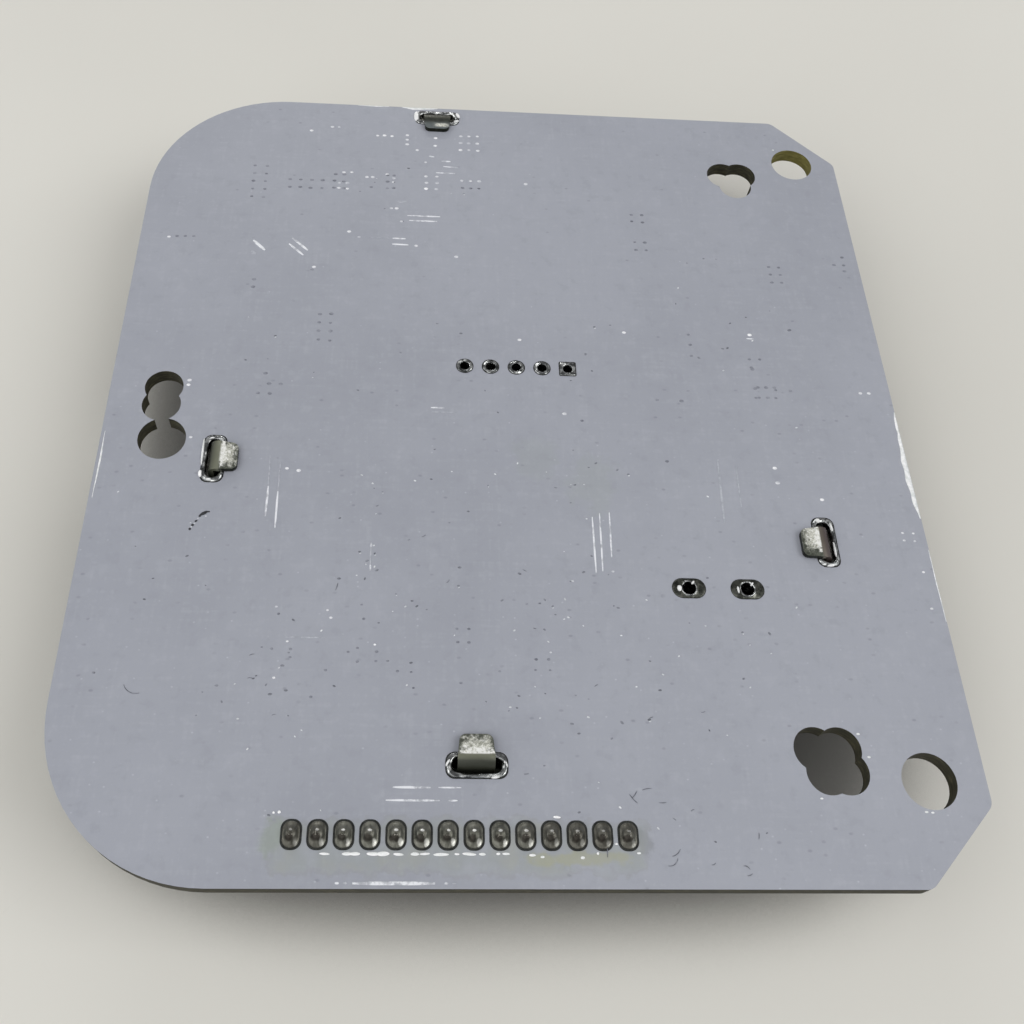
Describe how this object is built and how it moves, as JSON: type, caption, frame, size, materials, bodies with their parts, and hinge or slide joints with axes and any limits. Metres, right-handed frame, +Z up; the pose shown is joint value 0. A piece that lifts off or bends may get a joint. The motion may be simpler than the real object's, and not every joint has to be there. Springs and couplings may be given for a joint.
{
  "type": "led driver module",
  "caption": "Flat electronic driver board with a white solder side facing up, lying on the folded shield can that covers its components; a pin header sits along one edge.",
  "frame": {"origin": "middle of the board outline, on the flat face of the shield can that it rests on", "axes": "+X to the right, +Y away from the pin header, +Z up out of the solder side"},
  "size_m": [0.076, 0.0844, 0.0128],
  "materials": {
    "board_mask": "satin white-grey solder mask over glass-fibre laminate",
    "shield_tinplate": "spangled tin-plated steel sheet",
    "solder": "bright wetted solder",
    "housing_plastic": "matt black moulding",
    "pin_brass": "dull tin-plated brass",
    "ferrite": "dark sintered ferrite",
    "copper_wire": "enamelled copper",
    "can_aluminium": "satin aluminium",
    "ceramic": "tan sintered ceramic",
    "chip_body": "dark glazed chip body",
    "tinned_leads": "bright tin",
    "moulding_plastic": "matt black epoxy moulding"
  },
  "bodies": {
    "root": {"bus_transceiver_body": "moulding_plastic", "bus_transceiver_leads": "tinned_leads", "capacitor_base_1": "moulding_plastic", "capacitor_base_2": "moulding_plastic", "capacitor_base_3": "moulding_plastic", "capacitor_base_4": "moulding_plastic", "capacitor_can_1": "can_aluminium", "capacitor_can_2": "can_aluminium", "capacitor_can_3": "can_aluminium", "capacitor_can_4": "can_aluminium", "capacitor_feet": "tinned_leads", "ceramic_capacitor_bodies": "ceramic", "ceramic_capacitor_end_caps": "tinned_leads", "chip_part_bodies": "chip_body", "chip_part_end_caps": "tinned_leads", "choke_base": "moulding_plastic", "choke_core": "ferrite", "choke_windings": "copper_wire", "circuit_board": "board_mask", "crystal_base": "chip_body", "crystal_can": "can_aluminium", "header_housing": "housing_plastic", "header_pins": "pin_brass", "header_solder_joints": "solder", "led_driver_body_1": "moulding_plastic", "led_driver_body_2": "moulding_plastic", "led_driver_leads_1": "tinned_leads", "led_driver_leads_2": "tinned_leads", "microcontroller_body": "moulding_plastic", "microcontroller_leads": "tinned_leads", "power_hole_lands": "solder", "power_inductor_core_1": "ferrite", "power_inductor_core_2": "ferrite", "power_inductor_core_3": "ferrite", "power_inductor_core_4": "ferrite", "power_inductor_terminals_1": "tinned_leads", "power_inductor_terminals_2": "tinned_leads", "power_inductor_terminals_3": "tinned_leads", "power_inductor_terminals_4": "tinned_leads", "power_transistor_body_1": "moulding_plastic", "power_transistor_body_2": "moulding_plastic", "power_transistor_body_3": "moulding_plastic", "power_transistor_body_4": "moulding_plastic", "power_transistor_metal_1": "tinned_leads", "power_transistor_metal_2": "tinned_leads", "power_transistor_metal_3": "tinned_leads", "power_transistor_metal_4": "tinned_leads", "rectifier_diode_bodies": "moulding_plastic", "rectifier_diode_leads": "tinned_leads", "shield_can": "shield_tinplate", "shield_slot_rims": "solder", "shunt_resistor_bodies": "chip_body", "shunt_resistor_end_caps": "tinned_leads", "signal_hole_lands": "solder", "suppressor_body": "moulding_plastic", "suppressor_leads": "tinned_leads"}
  },
  "joints": []
}
